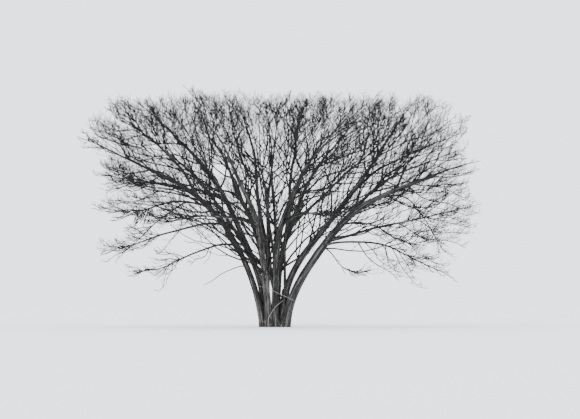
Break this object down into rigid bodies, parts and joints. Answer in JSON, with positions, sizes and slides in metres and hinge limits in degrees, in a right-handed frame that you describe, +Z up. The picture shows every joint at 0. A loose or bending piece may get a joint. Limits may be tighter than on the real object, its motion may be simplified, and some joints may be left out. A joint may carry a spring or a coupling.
{
  "type": "bare winter tree",
  "caption": "Bare, many-stemmed deciduous tree in winter: slender stems fan out from one root crown into a wide, flat-topped crown of fine twigs, with low boughs that droop.",
  "frame": {"origin": "on the flat cut at ground level, in the middle of the root crown", "axes": "+Z up, +X to the right of the pictured view, along the crown's widest spread, +Y away from that view"},
  "size_m": [9.043, 6.136, 5.56],
  "materials": {
    "bark": "dark grey-brown bark with fine lengthwise furrows and paler lit ridges, matt",
    "grey_bark": "weathered light grey bark with fine lengthwise furrows, matt",
    "twigs": "thin, smooth, dark twig bark, leafless, matt"
  },
  "bodies": {
    "root": {"root_crown": "bark", "back_left_stem": "bark", "back_right_stem": "bark", "front_left_stem": "grey_bark", "front_stem": "bark", "left_inner_stem": "bark", "left_outer_stem": "bark", "right_inner_stem": "bark", "right_outer_stem": "bark", "back_bough": "bark", "back_left_low_bough": "bark", "back_right_bough": "bark", "centre_top_bough": "bark", "front_left_low_bough": "bark", "front_low_bough": "bark", "front_right_bough": "bark", "left_arching_bough": "bark", "left_fork_bough": "bark", "left_level_bough": "bark", "left_low_bough": "bark", "left_lowest_shoot": "bark", "left_middle_bough": "bark", "left_side_bough": "bark", "left_upper_bough": "bark", "right_arching_bough": "bark", "right_drooping_bough": "bark", "right_hanging_bough": "bark", "right_long_bough": "bark", "right_low_bough": "bark", "right_upper_bough": "bark", "right_weeping_bough": "bark", "back_bough_twigs": "twigs", "back_left_low_bough_twigs": "twigs", "back_left_stem_twigs": "twigs", "back_right_bough_twigs": "twigs", "back_right_stem_twigs": "twigs", "centre_top_bough_twigs": "twigs", "front_left_low_bough_twigs": "twigs", "front_left_stem_twigs": "twigs", "front_low_bough_twigs": "twigs", "front_right_bough_twigs": "twigs", "front_stem_twigs": "twigs", "left_arching_bough_twigs": "twigs", "left_fork_bough_twigs": "twigs", "left_inner_stem_twigs": "twigs", "left_level_bough_twigs": "twigs", "left_low_bough_twigs": "twigs", "left_middle_bough_twigs": "twigs", "left_outer_stem_twigs": "twigs", "left_side_bough_twigs": "twigs", "left_upper_bough_twigs": "twigs", "right_arching_bough_twigs": "twigs", "right_drooping_bough_twigs": "twigs", "right_hanging_bough_twigs": "twigs", "right_inner_stem_twigs": "twigs", "right_long_bough_twigs": "twigs", "right_low_bough_twigs": "twigs", "right_outer_stem_twigs": "twigs", "right_upper_bough_twigs": "twigs", "right_weeping_bough_twigs": "twigs"}
  },
  "joints": []
}
